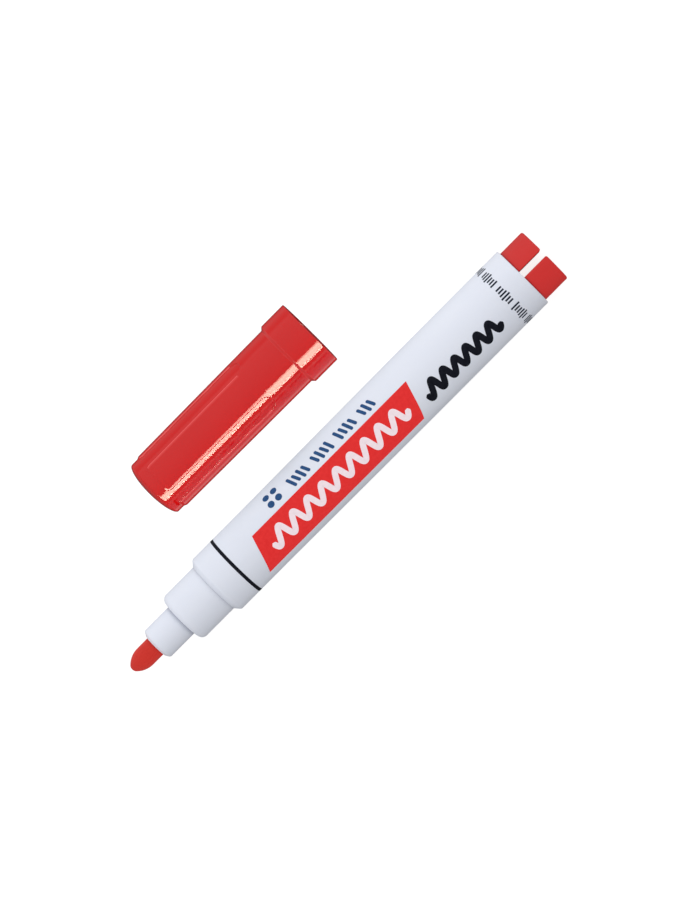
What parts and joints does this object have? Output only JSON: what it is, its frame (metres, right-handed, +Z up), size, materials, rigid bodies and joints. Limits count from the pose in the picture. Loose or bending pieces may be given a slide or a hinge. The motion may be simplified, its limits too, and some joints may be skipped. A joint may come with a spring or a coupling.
{
  "type": "whiteboard marker",
  "caption": "Round bullet-tip whiteboard marker with a stepped nose, slotted end plug and a pulled-off cap with sunk panels lying beside it.",
  "frame": {"origin": "bottom centre of the whole box, on the surface that the marker and its cap lie on", "axes": "+X along the marker from the nib to the end plug, +Y from the marker towards the cap beside it, +Z up"},
  "size_m": [0.123, 0.0392, 0.0162],
  "materials": {
    "barrel_plastic": "satin white moulded polypropylene",
    "cap_plastic": "glossy red moulded polypropylene",
    "plug_plastic": "satin red moulded polypropylene",
    "nib_fibre": "ink-soaked bonded acrylic fibre",
    "reservoir_fibre": "ink-soaked polyester fibre rod",
    "clear_film": "thin clear film",
    "seal_plastic": "soft natural polyethylene",
    "print_black": "screen-printed ink",
    "print_red": "screen-printed ink",
    "print_blue": "screen-printed ink"
  },
  "bodies": {
    "marker_body": {"barrel": "barrel_plastic", "nib_holder": "barrel_plastic", "nib": "nib_fibre", "ink_reservoir": "reservoir_fibre", "reservoir_film": "clear_film", "end_plug": "plug_plastic"},
    "cap_body": {"cap": "cap_plastic", "inner_cap": "seal_plastic"}
  },
  "joints": [
    {"name": "cap_slide", "type": "slide", "parent": "marker_body", "child": "cap_body", "axis": [1, 0, 0], "range_m": [-0.079, 0]}
  ]
}
